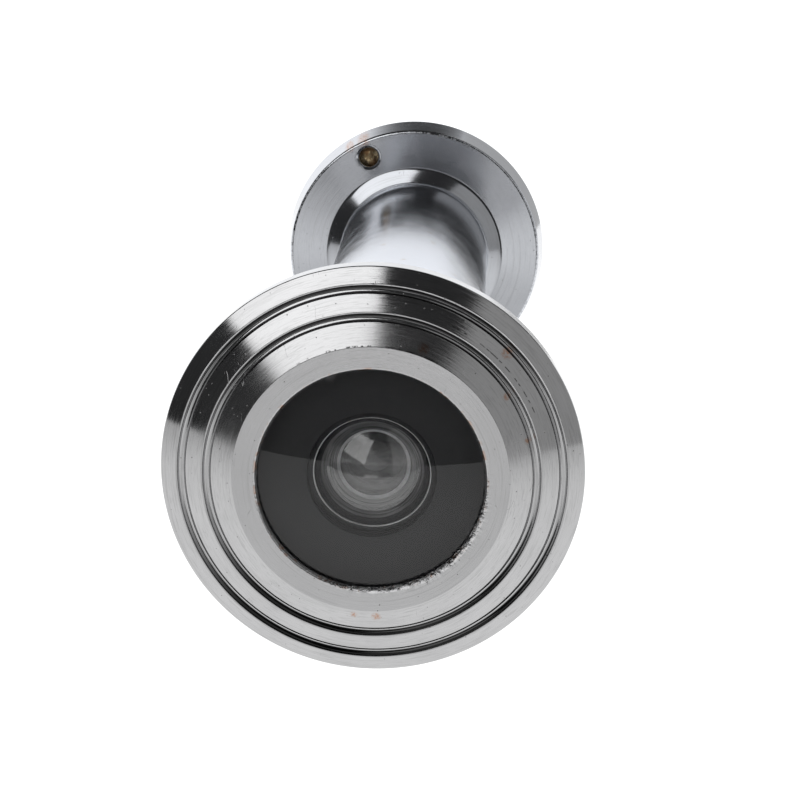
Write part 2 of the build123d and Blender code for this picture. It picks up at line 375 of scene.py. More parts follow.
def worn_chrome(
    name,
    roughness,
    ring_depth,
    tone=0.56,
    tint=(1.0, 1.0, 1.01),
    per_mm=9.0,
    streaks=0.1,
    plain=0.0,
    worn=(),
    scuffed=(),
    stains=(),
    more=None,
):
    """Turned and plated metal with pits, hairline scratches and brassy wear.

    per_mm is how many rings the tool left in a millimetre, ring_depth their depth in millimetres, and
    streaks how dark the finest of them are outside the radius plain. worn lists the (radius, width) of bands
    where the plating has rubbed through, and scuffed the (radius, width, depth, angle) of those that are only
    knocked, on one side if there is an angle. stains lists the (x, y, z, size) of brown spots.
    more(shader, polar) gives extra roughness and a mask painted near black: dirt, and on the outdoor face
    also painted shade in the grooves."""
    blur = 0.03  # how much rougher the clouded places and the finest rings are
    s = Shader(name)
    polar = s.polar((0, 0))
    rings = s.rings(polar, per_mm, 1.5)
    fine = s.rings(polar, per_mm * 1.9, 11.0)
    cloud = s.noise(s.place, 0.35, 3.0)
    speck = s.noise(s.place, 6.5, 2.0)
    colour = s.mix(s.ramp(cloud, 0.3, 0.7), grey(tone * 0.94, tint), grey(tone, tint))
    colour = s.mix(s.ramp(rings, 0.25, 0.5, 0.3, 0.0), colour, grey(tone * 0.6))
    where = s.ramp(polar[0], plain, plain + 0.1, 0.15, 1.0)
    marks = s.math("MULTIPLY", s.ramp(fine, 0.32, 0.5, streaks, 0.0), where)
    colour = s.mix(marks, colour, grey(tone * 0.6))

    # Hairlines lie where a stretched noise passes its middle value, and only in a few places.
    stretch = s.vector("MULTIPLY", s.place, (1.7, 0.6, 0.35))
    line = s.math("ABSOLUTE", s.math("SUBTRACT", s.noise(stretch, 0.9, 1.0), 0.5))
    few = s.ramp(s.noise(s.place, 0.55, 1.0), 0.63, 0.7)
    lines = s.math("MULTIPLY", s.ramp(line, 0.0, 0.0035, 1.0, 0.0), few)
    colour = s.mix(s.math("MULTIPLY", lines, 0.35), colour, grey(tone * 0.3))

    cells = s.node("TexVoronoi", {"Vector": s.place, "Scale": 2.1, "Randomness": 1.0}).outputs["Distance"]
    pits = s.math("MULTIPLY", s.ramp(cells, 0.05, 0.1, 1.0, 0.0), s.ramp(speck, 0.48, 0.56))
    colour = s.mix(s.math("MULTIPLY", pits, 0.75), colour, grey(0.07, (1.1, 1.0, 0.9)))

    brass = (0.42, 0.2, 0.1, 1.0)
    patchy = s.ramp(s.noise(s.place, 1.6, 4.0, 0.7), 0.52, 0.62)
    for middle, width in worn:
        here = s.math("MULTIPLY", s.band(polar[0], middle, width), patchy)
        colour = s.mix(s.math("MULTIPLY", here, 0.75), colour, brass)
    for *spot, size in stains:
        away = s.vector("MULTIPLY", s.vector("SUBTRACT", s.place, tuple(spot)), (1.0, 0.25, 1.0))
        near = s.ramp(s.vector("LENGTH", away), size * 0.3, size, 1.0, 0.0)
        colour = s.mix(s.math("MULTIPLY", near, s.ramp(speck, 0.4, 0.6, 0.2, 0.7)), colour, brass)

    rough = s.ramp(cloud, 0.3, 0.75, roughness, roughness + blur)
    rough = s.math("ADD", rough, s.math("MULTIPLY", pits, 0.2))
    rough = s.math("ADD", rough, s.ramp(fine, 0.35, 0.65, 0.0, blur))
    knocks, height = 0.0, 0.0
    for middle, width, depth, lean in scuffed:
        patches = s.ramp(s.noise(s.place, 3.0, 3.0), 0.4, 0.55)
        if lean is not None:
            a = math.radians(lean)
            side = s.math("MULTIPLY_ADD", polar[1], math.cos(a), s.math("MULTIPLY", polar[2], math.sin(a)))
            patches = s.math("MULTIPLY", patches, s.ramp(side, 0.6, 0.85, 0.06, 1.0))
        here = s.math("MULTIPLY", s.band(polar[0], middle, width), patches)
        knocks = s.math("MAXIMUM", knocks, here)
        height = s.math("MAXIMUM", height, s.math("MULTIPLY", here, depth))
    rough = s.math("MULTIPLY_ADD", knocks, 0.2, rough)
    colour = s.mix(s.math("MULTIPLY", knocks, 0.8), colour, grey(0.9, tint))
    if more:
        extra, dirt_and_shade = more(s, polar)
        rough = s.math("ADD", rough, extra)
        # Painted near black: dirt, and on the outdoor face painted shade in the grooves.
        colour = s.mix(dirt_and_shade, colour, grey(0.03))
    normal = s.bump(s.math("MULTIPLY", height, s.noise(s.place, 6.0, 3.0, 0.7)), 1.0)
    normal = s.bump(rings, ring_depth, normal)
    normal = s.bump(fine, ring_depth * 0.6, normal)
    normal = s.bump(s.math("SUBTRACT", 1.0, s.math("MAXIMUM", pits, lines)), 0.004, normal)
    return s.surface({"Base Color": colour, "Metallic": 1.0, "Roughness": rough, "Normal": normal})


def satin_metal(name, tone, roughness, grain_depth, tint=(0.93, 0.965, 1.04)):
    """Plating over a drawn tube: fine grain, soft clouding and a few rubbed spots."""
    s = Shader(name)
    grain = s.noise(s.place, 9.0, 3.0, 0.6)
    cloud = s.noise(s.place, 0.45, 3.0)
    colour = s.mix(s.ramp(cloud, 0.3, 0.7), grey(tone * 0.9, tint), grey(tone, tint))
    colour = s.mix(s.ramp(grain, 0.3, 0.45, 0.2, 0.0), colour, grey(tone * 0.55))
    rubbed = s.math("MULTIPLY", s.ramp(s.noise(s.place, 1.1, 2.0), 0.66, 0.74), 0.5)
    colour = s.mix(rubbed, colour, grey(tone * 0.6, (1.1, 0.95, 0.8)))
    rough = s.ramp(cloud, 0.3, 0.75, roughness, roughness + 0.05)
    rough = s.math("ADD", rough, s.ramp(grain, 0.3, 0.7, 0.0, 0.04))
    normal = s.bump(grain, grain_depth)
    return s.surface({"Base Color": colour, "Metallic": 1.0, "Roughness": rough, "Normal": normal})


def matte(name, colour, roughness, grain=7.0, depth=0.004, specular=0.35, variation=0.35, dust=0.25):
    """Moulded plastic, rubber or fibre: a fine grain, patches of different gloss and a little dust."""
    s = Shader(name)
    fine = s.noise(s.place, grain, 3.0, 0.6)
    cloud = s.noise(s.place, 0.7, 3.0)
    dark = tuple(c * (1 - variation) for c in colour) + (1.0,)
    light = tuple(min(1.0, c * (1 + variation)) for c in colour) + (1.0,)
    tone = s.mix(s.ramp(cloud, 0.3, 0.7), dark, light)
    specks = s.ramp(s.noise(s.place, 4.0, 1.0), 0.68, 0.76, 0.0, dust)
    tone = s.mix(specks, tone, grey(0.3, (1.0, 0.97, 0.92)))
    rough = s.ramp(cloud, 0.3, 0.7, roughness - 0.08, roughness + 0.08)
    rough = s.math("ADD", rough, s.ramp(fine, 0.3, 0.7, -0.04, 0.04))
    inputs = {"Base Color": tone, "Roughness": rough, "Specular IOR Level": specular}
    if depth:
        inputs["Normal"] = s.bump(fine, depth)
    return s.surface(inputs)


def glass(name, tint, haze=0.0, coat=0.0):
    """Polished glass with faint smears. haze is the share of light that it scatters, and coat the weight of a
    reflecting film on it."""
    s = Shader(name)
    smear = s.noise(s.vector("MULTIPLY", s.place, (1.0, 1.0, 2.2)), 0.5, 4.0, 0.6)
    rough = s.ramp(smear, 0.52, 0.72, 0.0, 0.02)
    colour = s.mix(s.ramp(smear, 0.4, 0.7), (1.0, 1.0, 1.0, 1.0), grey(1.0, tint))
    wave = s.bump(s.noise(s.place, 0.3, 0.0), 0.0001)
    inputs = {"Base Color": colour, "Roughness": rough, "Normal": wave, "IOR": GLASS_IOR}
    inputs["Transmission Weight"] = 1.0 - haze
    inputs["Coat Weight"] = coat
    inputs["Coat IOR"] = FILM_IOR
    return s.surface(inputs)


def ridged_black(name):
    """Black plastic with the fine rings of a moulded, light-trapping cell, shiny on their crests, which are
    painted light grey as a painted highlight.
    """
    s = Shader(name)
    rings = s.rings(s.polar((0, 0)), 9.0, 0.8)
    dust = s.ramp(s.noise(s.place, 5.0, 2.0), 0.62, 0.72, 0.0, 0.35)
    # The rings' crests are painted light grey over the black: painted highlight.
    tone = s.mix(s.ramp(rings, 0.35, 0.65), grey(0.03), grey(0.34, (1.0, 1.0, 1.03)))
    tone = s.mix(dust, tone, grey(0.2))
    rough = s.ramp(rings, 0.3, 0.7, 0.4, 0.2)
    normal = s.bump(rings, 0.02)
    return s.surface({"Base Color": tone, "Roughness": rough, "Normal": normal, "Specular IOR Level": 0.9})


def rivet_metal(name):
    """Dull brass with a dark, uneven peened end and brown tarnish."""
    s = Shader(name)
    patches = s.noise(s.place, 1.8, 3.0, 0.6)
    fine = s.noise(s.place, 8.0, 3.0)
    colour = s.mix(s.ramp(patches, 0.38, 0.62), (0.2, 0.12, 0.06, 1.0), (0.42, 0.33, 0.2, 1.0))
    colour = s.mix(s.ramp(fine, 0.25, 0.45, 0.35, 0.0), colour, (0.03, 0.02, 0.012, 1.0))
    rough = s.ramp(patches, 0.3, 0.7, 0.5, 0.22)
    normal = s.bump(fine, 0.01)
    return s.surface({"Base Color": colour, "Metallic": 1.0, "Roughness": rough, "Normal": normal})


def on_face(radius, angle, y, size):
    """A spot on a flange, its angle in degrees from +X towards +Z."""
    a = math.radians(angle)
    return radius * math.cos(a), y, radius * math.sin(a), size


def outdoor_wear_and_shade(s, polar):
    """The inner rings are turned more coarsely. Black dirt lies along a scratch, a ragged dark line runs
    along the flat's edge at the top, and the grooves' outer walls are painted near black above and below as
    painted shade.
    """
    coarse = s.ramp(polar[0], 12.1, 8.6, 0.0, 0.09)
    ragged = s.ramp(s.noise(s.place, 3.2, 3.0, 0.7), 0.5, 0.57)
    at_top = s.ramp(polar[2], 0.78, 0.95)
    edge = s.math("MULTIPLY", s.band(polar[0], flat_edge + 0.03, 0.09), at_top)
    arc_side = s.math("MULTIPLY", s.ramp(polar[1], 0.38, 0.48), s.ramp(polar[2], 0.34, 0.42))
    scratch = s.math("MULTIPLY", s.band(polar[0], 10.72, 0.05), arc_side)
    dirt_and_shade = s.math("MULTIPLY", s.math("MAXIMUM", edge, scratch), ragged)
    # The grooves' outer walls are painted near black above and below: painted shade.
    for middle in groove_middles:
        past_middle = s.ramp(polar[0], middle - 0.04, middle + 0.03)
        before_edge = s.ramp(polar[0], middle + groove - 0.02, middle + groove + 0.04, 1.0, 0.0)
        outer_wall = s.math("MULTIPLY", past_middle, before_edge)
        shade_above_and_below = s.ramp(s.math("ABSOLUTE", polar[2]), 0.2, 0.75)
        dirt_and_shade = s.math("MAXIMUM", dirt_and_shade, s.math("MULTIPLY", outer_wall, shade_above_and_below))
    return coarse, s.math("MULTIPLY", dirt_and_shade, 0.97)


def rivet_dirt(s, _):
    """Dirt creeping out from the edge of the rivet's hole."""
    around = s.polar(pivot)[0]
    patches = s.ramp(s.noise(s.place, 2.5, 2.0), 0.35, 0.6)
    ring = s.math("MULTIPLY", s.ramp(around, 1.0, 1.35, 1.0, 0.0), patches)
    return s.math("MULTIPLY", ring, 0.15), s.math("MULTIPLY", ring, 0.25)


outer_stains = [
    on_face(8.9, 69, front_face, 0.45),
    on_face(11.35, 44, -1.9, 0.5),
    on_face(9.75, 33, -2.3, 0.32),
    on_face(9.8, 15, -2.3, 0.3),
    on_face(8.86, 272, front_face, 0.4),
    on_face(8.8, 263, front_face, 0.3),
]
rim_stains = [on_face(11.2, 114, door_face + 0.6, 0.8), on_face(11.2, 121, door_face + 0.6, 0.6)]
lip_side = -57  # degrees: the lower right, where the lip over the lens is roughest
bluish, warm, neutral = (0.96, 0.985, 1.04), (1.0, 0.99, 0.97), (1.0, 1.0, 1.0)

chrome_front = worn_chrome(
    "front_chrome",
    roughness=0.06,
    ring_depth=0.0034,
    streaks=0.4,
    plain=flat_edge,
    worn=[(opening + 0.1, 0.25)],
    scuffed=[(opening + 0.14, 0.26, 0.12, lip_side)],
    stains=outer_stains,
    more=outdoor_wear_and_shade,
)
chrome_rear = worn_chrome(
    "rear_chrome",
    roughness=0.08,
    ring_depth=0.0008,
    tone=0.57,
    tint=bluish,
    scuffed=[(face_edge - 0.1, 0.16, 0.002, None)],
    stains=rim_stains,
    more=rivet_dirt,
)
chrome_cover = worn_chrome(
    "cover_chrome",
    roughness=0.08,
    ring_depth=0.0006,
    per_mm=6.0,
    scuffed=[(cover_radius - 0.1, 0.12, 0.004, None)],
)
satin = satin_metal("sleeve_satin", tone=0.7, roughness=0.14, grain_depth=0.0004)
thread_metal = satin_metal("thread_metal", tone=0.5, roughness=0.2, grain_depth=0.0012, tint=warm)
spring_steel = satin_metal("spring_steel", tone=0.46, roughness=0.25, grain_depth=0.0015, tint=warm)
bright_edge = satin_metal("bright_edge", tone=0.85, roughness=0.3, grain_depth=0.002, tint=neutral)
clear = glass("lens_clear", (0.97, 0.99, 0.98))
inner_surface = glass("lens_inner_surface", (0.97, 0.98, 0.99), coat=1.0)
hazy = glass("lens_hazy", (0.38, 0.39, 0.41), haze=0.1)
ground_glass = matte("ground_glass", (0.85, 0.85, 0.87), 0.3, grain=9.0, specular=1.0, variation=0.15)
black_paint = matte("black_paint", (0.05, 0.05, 0.053), 0.6, variation=0.08, depth=0.0, dust=0.0)
black_plastic = matte("black_plastic", (0.02, 0.02, 0.022), 0.5)
ridged_plastic = ridged_black("ridged_plastic")
soft_rubber = matte("soft_rubber", (0.03, 0.03, 0.03), 0.75, grain=5.0, depth=0.01)
red_fibre = matte("red_fibre", (0.3, 0.09, 0.05), 0.8, grain=9.0, depth=0.01)
rivet_brass = rivet_metal("rivet_brass")


# Outdoor half ----------------------------------------------------------------------------------------------

rim_edge = -1.11
bevel_radius, bevel_y = front_radius - 0.04, -1.16
lip_root = 7.08  # where the flat ring turns down into the lip over the lens
lip_edge, pocket_front = -2.47, -2.33  # the lip's outer edge and its underside, along Y
front_rim = pocket_front + 0.03  # edge of the front lens's dome
flat_supports = (7.6, 7.5, 7.3)  # they keep the flat ring flat beside the rough lip


def cone_to(start_radius, start_y, end_radius):
    """Height of a cone's far edge: every ring of the outdoor face slopes alike."""
    return start_y - cone_slope * (start_radius - end_radius)


def ring_step(outer, y):
    """A narrow land and a half-round groove inside it, at one height."""
    middle = outer - land - groove
    edge = [(outer, y, 0.03), (outer - land, y, 0.025)]
    return edge + arc(middle, y, groove, 0, 180, 18) + [(middle - groove, y, 0.02)]


def front_flange_outline():
    outer, inner = cone_ends
    outer_y = cone_to(bevel_radius, bevel_y, outer)
    middle_start = outer - land - 2 * groove
    inner_y = cone_to(middle_start, outer_y, inner)
    corners = [
        (bore, hub_back),
        (tube_radius, hub_back, 0.12),
        (tube_radius, 0),
        (front_radius, 0, 0.12),
        (front_radius, rim_edge, 0.03),
        (bevel_radius, bevel_y, 0.02),
    ]
    corners += ring_step(outer, outer_y)
    corners += ring_step(inner, inner_y)
    corners.append((flat_edge, front_face, 0.06))
    corners += [(radius, front_face) for radius in flat_supports]
    corners += [
        (lip_root, front_face, 0.12),
        (opening, lip_edge, 0.06),
        (pocket, pocket_front),
        (pocket, head_back),
        (bore, head_back),
    ]
    return rounded(corners)


def rough_lip(radius, y, angle):
    """The lip was rolled over the lens, and its edge is uneven at the lower right."""
    reach = 0.4
    near = max(0.0, 1 - abs(radius - opening - 0.15) / reach) if y < front_rim else 0.0
    side = 0.08 + 0.92 * max(0.0, math.cos(angle - math.radians(lip_side))) ** 3
    across, up = math.cos(angle), math.sin(angle)
    coarse = noise.noise(Vector((across * 30, up * 30, 3.0)))
    fine = noise.noise(Vector((across * 110, up * 110, radius * 9)))
    push = near * side * (0.05 * coarse + 0.07 * fine)
    return radius + push, y + 0.8 * push


lip_steps = 768  # facets, for the rough lip
outdoor_flange = ripple(lathe("outdoor_flange", front_flange_outline(), lip_steps), rough_lip)
put(finish_mesh(outdoor_flange), "outdoor_half", "front_flange", "chrome", chrome_front)

thread_pitch, thread_depth = 1.0, 0.3
thread_start, thread_end = hub_back + 0.15, barrel_end - 0.45
thread_fade = 0.8  # length of the thread's run-out
barrel_chamfer = 0.28


def thread_cut(share):
    """Depth of the thread's groove at a share of one pitch, with rounded crests and roots."""
    away = min(share, 1 - share)
    rise = min(1.0, max(0.0, (away - 0.05) / 0.36))
    return thread_depth * rise * rise * (3 - 2 * rise)


def barrel():
    """The barrel: a turned body with one right-handed helical thread along its outside."""
    outline = [
        (bore, thread_end),
        (bore, barrel_end - barrel_chamfer),
        (bore - barrel_chamfer, barrel_end),
        (light_bore + 0.1, barrel_end),
        (light_bore, barrel_end - 0.1),
        (light_bore, mask_back),
        (lens_radius, mask_back),
        (lens_radius, head_back),
        (bore, head_back),
        (bore, thread_start),
    ]
    count = RING_STEPS
    verts, faces = turned(outline, count, (0, 0), closed=False)
    per_pitch = 12  # rows of points in each turn's profile
    turns = math.ceil((thread_end - thread_start) / thread_pitch) + 2
    rows = turns * per_pitch
    first = len(verts)
    for row in range(rows + per_pitch):
        share = (row % per_pitch) / per_pitch
        for k in range(count):
            y = thread_start + thread_pitch * (row / per_pitch - 1 - k / count)
            y = min(max(y, thread_start), thread_end)
            fade = min(1.0, (y - thread_start) / thread_fade, (thread_end - y) / thread_fade)
            r = bore - max(0.0, fade) * thread_cut(share)
            a = 2 * math.pi * k / count
            verts.append((r * math.cos(a) * MM, y * MM, r * math.sin(a) * MM))
    for row in range(rows + per_pitch - 1):
        nearer, next_row = first + row * count, first + (row + 1) * count
        for k in range(count):
            if k + 1 < count:
                faces.append([nearer + k, nearer + k + 1, next_row + k + 1, next_row + k])
            elif row >= per_pitch:
                # One turn on, the helix stands a pitch lower: its last column meets the first of that row.
                back = first + (row - per_pitch) * count
                faces.append([nearer + k, back, back + count, next_row + k])
    return finish_mesh(new_object("barrel", verts, faces))


put(barrel(), "outdoor_half", "threaded_barrel", "barrel_metal", thread_metal)


def lathe_in_parts(name, outline, pick, materials, steps=STEPS):
    """A turned piece whose faces take the material that pick(radius, y) counts off in materials."""
    obj = lathe(name, outline, steps)
    for material in materials:
        obj.data.materials.append(material)
    for face in obj.data.polygons:
        x, y, z = face.center / MM
        face.material_index = pick(math.hypot(x, z), y)
    return obj


gap = 0.006  # between pieces that touch, so that their faces don't lie on each other
hollow_radius, hollow_depth = 3.9, 1.25  # the front lens's hollow back
front_outline = (
    dome(lens_radius - gap, front_rim, lens_apex, 40)
    + [(lens_radius - gap, mask_front - gap)]
    + dome(hollow_radius, mask_front - gap, mask_front - hollow_depth, 32)[::-1]
)


def lens_rise(radius):
    """How far the dome stands forward of its rim, roughly, at a radius."""
    return (front_rim - lens_apex) * max(0.0, 1 - (radius / lens_radius) ** 2)


def front_lens_part(radius, y):
    """0 is the polished dome, 1 the hollow behind it, and 2 the painted flat and edge."""
    if y < front_rim - lens_rise(radius) / 2:
        return 0
    return 1 if radius < hollow_radius else 2


wide_lens = lathe_in_parts("wide_lens", front_outline, front_lens_part, [clear, inner_surface, black_paint])
put(wide_lens, "outdoor_half", "front_lens", "lens_glass")
lens_stop = section(hollow_radius, lens_radius, mask_front, mask_back - gap)
ring("lens_stop", lens_stop, "outdoor_half", "lens_mask", "black_plastic", black_paint, STEPS)

mouth_radius, mouth_back = 3.62, -0.4  # the cell's mouth, and the step behind it
funnel_radius, throat_radius = 3.4, 2.72
bead = 0.05  # rounding of the mouth's shiny edge
cell_steps = 192


def ridges(start, end, count, depth):
    """Sawtooth ridges along a sloping wall, from one (radius, y) to another."""
    points = []
    for i in range(count):
        for share, out in ((0.0, 0.0), (0.55, depth), (0.8, depth)):
            t = (i + share) / count
            points.append((start[0] + (end[0] - start[0]) * t + out, start[1] + (end[1] - start[1]) * t))
    return points


cell_shape = [
    (mouth_radius, mask_back + bead),
    *arc(mouth_radius + bead, mask_back + bead, bead, 180, 270, 6),
    (mouth_radius + bead, mask_back),
    (light_bore - gap, mask_back),
    (light_bore - gap, cell_back),
    (cell_bore, cell_back),
    (cell_bore, second_front - gap),
    (throat_radius + 0.1, second_front - gap),
]
cell_shape += ridges((throat_radius, second_front - 0.12), (funnel_radius, mouth_back + 0.04), 9, 0.09)
cell_shape += [(funnel_radius, mouth_back), (mouth_radius, mouth_back)]


def cell_part(radius, y):
    """0 is the ridged funnel, 1 the mouth's shiny edge, and 2 the painted mouth and outside."""
    if radius < mouth_radius + bead + 0.01 and y < mask_back + bead + 0.01:
        return 1
    return 2 if y < mouth_back + 0.01 or radius > mouth_radius else 0


cell_materials = [ridged_plastic, bright_edge, black_paint]
inner_cell = lathe_in_parts("inner_cell", cell_shape, cell_part, cell_materials, cell_steps)
put(inner_cell, "outdoor_half", "lens_cell", "black_plastic")

bright_ring = 2.52  # the second lens is polished inside this radius, and ground outside
second_hollow, second_hollow_depth = 2.9, 1.4
second = (
    dome(bright_ring, second_front + 0.22, second_front + 0.04, 32)
    + [(throat_radius - 0.04, second_front + gap), (cell_bore - gap, second_front + gap)]
    + [(cell_bore - gap, second_back - gap)]
    + dome(second_hollow, second_back - gap, second_back - second_hollow_depth, 32)[::-1]
)


def second_part(radius, y):
    """0 is polished glass, 1 painted and 2 ground."""
    if y > (second_front + second_back) / 2 - 0.3:
        return 0 if radius < second_hollow else 1
    return 0 if radius < bright_ring else 2


second_glass = lathe_in_parts("second_glass", second, second_part, [hazy, black_paint, ground_glass])
put(second_glass, "outdoor_half", "second_lens", "lens_glass")

spacer_bore, cushion_bore, back_ring_bore = 3.4, 3.3, 3.7
spacer = section(spacer_bore, cell_bore - gap, second_back, third_front, 0.05)
ring("spacer_ring", spacer, "outdoor_half", "lens_spacer", "black_plastic", black_plastic)

third_hollow, third_hollow_depth, third_chamfer = 2.1, 0.9, 0.15
third = (
    [(0, third_front + gap), (cell_bore - third_chamfer, third_front + gap)]
    + [(cell_bore - gap, third_front + third_chamfer), (cell_bore - gap, third_back - gap)]
    + dome(third_hollow, third_back - gap, third_back - third_hollow_depth, 32)[::-1]
)


def third_part(radius, y):
    """0 is polished glass, and 1 painted."""
    return 0 if radius < third_hollow or y < third_front + 0.1 else 1


third_glass = lathe_in_parts("third_glass", third, third_part, [clear, black_paint])
put(third_glass, "outdoor_half", "third_lens", "lens_glass")

cushion = section(cushion_bore, cell_bore - gap, third_back, cushion_back - gap, 0.15)
ring("rubber_ring", cushion, "outdoor_half", "cushion_ring", "rubber", soft_rubber)
back_ring = [
    (back_ring_bore, cell_back + gap, 0.1),
    (light_bore - gap, cell_back + gap),
    (light_bore - gap, ring_back),
    (back_ring_bore, ring_back, 0.3),
]
ring("back_ring", back_ring, "outdoor_half", "cell_retaining_ring", "black_plastic", black_plastic)

# Indoor half -----------------------------------------------------------------------------------------------

collar_front, collar_back = door_face - 1.05, door_face - 0.75
sleeve = [
    (tube_bore, sleeve_front, 0.1),
    (tube_radius, sleeve_front, 0.2),
    (tube_radius, collar_front, 0.05),
    (collar_radius, collar_front, 0.08),
    (collar_radius, collar_back, 0.08),
    (tube_radius, collar_back, 0.05),
    (tube_radius, sleeve_back),
    (tube_bore, sleeve_back),
]
ring("long_sleeve", sleeve, "indoor_half", "threaded_sleeve", "satin_chrome", satin, STEPS)

countersink, rivet_hole, rivet_shank = 1.05, 0.85, 0.8
hub_tip_radius, hub_cone = 6.6, 7.72  # radii of the hub's cone
hub_slope, hub_fillet = math.radians(26.5), 0.8  # the cone's slope, and its rounding into the face
back_bevel = 0.3
eye_opening, eye_mouth = 4.4, 5.2  # radii of the flange's opening, at the sleeve's end and at its back
fillet_end = hub_cone + hub_fillet * math.tan(hub_slope / 2)
fillet = arc(fillet_end, door_face - hub_fillet, hub_fillet, 90 + math.degrees(hub_slope), 90, 10)
rear = [
    (tube_radius, hub_tip, 0.05),
    (hub_tip_radius, hub_tip, 0.05),
    *fillet,
    (fillet_end, door_face),
    (face_edge, door_face, 0.25),
    (rear_radius, door_face + flare_depth, 0.05),
    (rear_radius, flange_back - back_bevel, 0.1),
    (rear_radius - back_bevel, flange_back, 0.1),
    (eye_mouth, flange_back, 0.08),
    (eye_opening, sleeve_back, 0.05),
    (tube_radius, sleeve_back),
]
hole_cutter = [
    (0, door_face - 1),
    (countersink + 0.3, door_face - 1),
    (countersink + 0.06, door_face - 0.01),
    (countersink, door_face + 0.03),
    (rivet_hole + 0.02, door_face + 0.2),
    (rivet_hole, door_face + 0.24),
    (rivet_hole, flange_back + 1),
    (0, flange_back + 1),
]
indoor_flange = lathe("indoor_flange", rounded(rear))
combine(indoor_flange, lathe("hole_cutter", hole_cutter, 64, pivot), "DIFFERENCE")


def slot_cutter():
    """A bar with sloping edges that cuts both spanner notches at once, a quarter turn from the pivot."""
    half_length, half_width, depth = 8.2, 0.8, 0.8
    bar = bpy.data.objects.new("slot_cutter", bpy.data.meshes.new("slot_cutter"))
    bpy.context.scene.collection.objects.link(bar)
    work = bmesh.new()
    bmesh.ops.create_cube(work, size=1)
    for vertex in work.verts:
        top = vertex.co.y > 0
        flare = 0.06 if top else 0.0
        x = vertex.co.x * 2 * (half_length + flare)
        z = vertex.co.z * 2 * (half_width + flare)
        turn = pivot_angle - math.pi / 2
        y = flange_back + 0.03 if top else flange_back - depth
        across, up = math.cos(turn), math.sin(turn)
        vertex.co = Vector((x * across - z * up, y, x * up + z * across)) * MM
    bmesh.ops.recalc_face_normals(work, faces=work.faces)
    work.to_mesh(bar.data)
    work.free()
    return bar


combine(indoor_flange, slot_cutter(), "DIFFERENCE")
put(indoor_flange, "indoor_half", "rear_flange", "chrome", chrome_rear)

shelf_back = holder_front + 0.5  # the shelf inside the holder, which the eyepiece rests on
holder = [
    (window, holder_front, 0.1),
    (tube_bore - gap, holder_front),
    (tube_bore - gap, sleeve_back),
    (holder_bore, sleeve_back),
    (holder_bore, shelf_back),
    (window, shelf_back, 0.05),
]
ring("eyepiece_cell", holder, "indoor_half", "eyepiece_holder", "black_plastic", black_plastic)

eye_radius = radius_of("eyepiece_lens")
eye_front, eye_back = low_y("eyepiece_lens"), high_y("eyepiece_lens")
eye_dome = 0.45
eye_outline = dome(eye_radius, eye_front + eye_dome, eye_front, 32)
eye_outline += dome(eye_radius, eye_back - eye_dome, eye_back, 32)[::-1]


def eyepiece_part(radius, _):
    """0 is polished glass, and 1 the painted edge."""
    return 0 if radius < eye_radius - 0.02 else 1


eyepiece = lathe_in_parts("eyepiece_glass", eye_outline, eyepiece_part, [clear, black_paint])
put(eyepiece, "eyepiece_slide", "eyepiece_lens", "lens_glass")

ring_low = low_y("eyepiece_retaining_ring")
eye_ring = [
    (window, ring_low + 0.1, 0.1),
    (holder_bore - gap, ring_low),
    (holder_bore - gap, sleeve_back),
    (window, sleeve_back, 0.2),
]
ring("eyepiece_ring", eye_ring, "indoor_half", "eyepiece_retaining_ring", "black_plastic", black_plastic)

# Rivet and its washers -------------------------------------------------------------------------------------

fibre = section(rivet_hole, washer_radius, flange_back, washer_back, 0.03, 0.03)
ring("fibre_washer", fibre, "indoor_half", "friction_washer", "fibre", red_fibre, PIVOT_STEPS, pivot)

spring_middle = (spring_low + spring_high) / 2
spring_half, spring_hole = 0.07, 0.9  # half its thickness, and its hole's radius
wave, waves = 0.075, 3  # how far it waves to each side, and how often round
spring_sides = spring_middle - spring_half, spring_middle + spring_half
spring = section(spring_hole, head_radius, *spring_sides, 0.02, 0.02)
wavy = lathe("wavy_washer", rounded(spring), PIVOT_STEPS, pivot)
for vertex in wavy.data.vertices:
    angle = math.atan2(vertex.co.z / MM - pivot_z, vertex.co.x / MM - pivot_x)
    vertex.co.y += wave * math.cos(waves * angle) * MM
put(wavy, "indoor_half", "wave_washer", "spring_steel", spring_steel)

head_seat = rivet_top - 0.65
rivet = (
    [(0, rivet_tail), (0.3, rivet_tail + 0.02), (0.52, rivet_tail + 0.09), (0.7, rivet_tail + 0.2)]
    + [(rivet_shank, rivet_tail + 0.3), (rivet_shank, head_seat - 0.05), (rivet_shank + 0.03, head_seat)]
    + [(head_radius - 0.1, head_seat), (head_radius, head_seat + 0.08)]
    + dome(head_radius, head_seat + 0.13, rivet_top, 16)[::-1]
)
peened, peened_lift, peened_bulge = 0.25, 0.06, 0.09  # how much of the tail is uneven, and by how much
rivet_piece = lathe("pivot_rivet", rivet, PIVOT_STEPS, pivot)
for vertex in rivet_piece.data.vertices:
    if vertex.co.y / MM < rivet_tail + peened:
        bulge = noise.noise(vertex.co / MM * 2.2)
        vertex.co.y += (peened_lift + peened_bulge * bulge) * MM
put(finish_mesh(rivet_piece), "indoor_half", "cover_rivet", "rivet_brass", rivet_brass)

# Cover -----------------------------------------------------------------------------------------------------

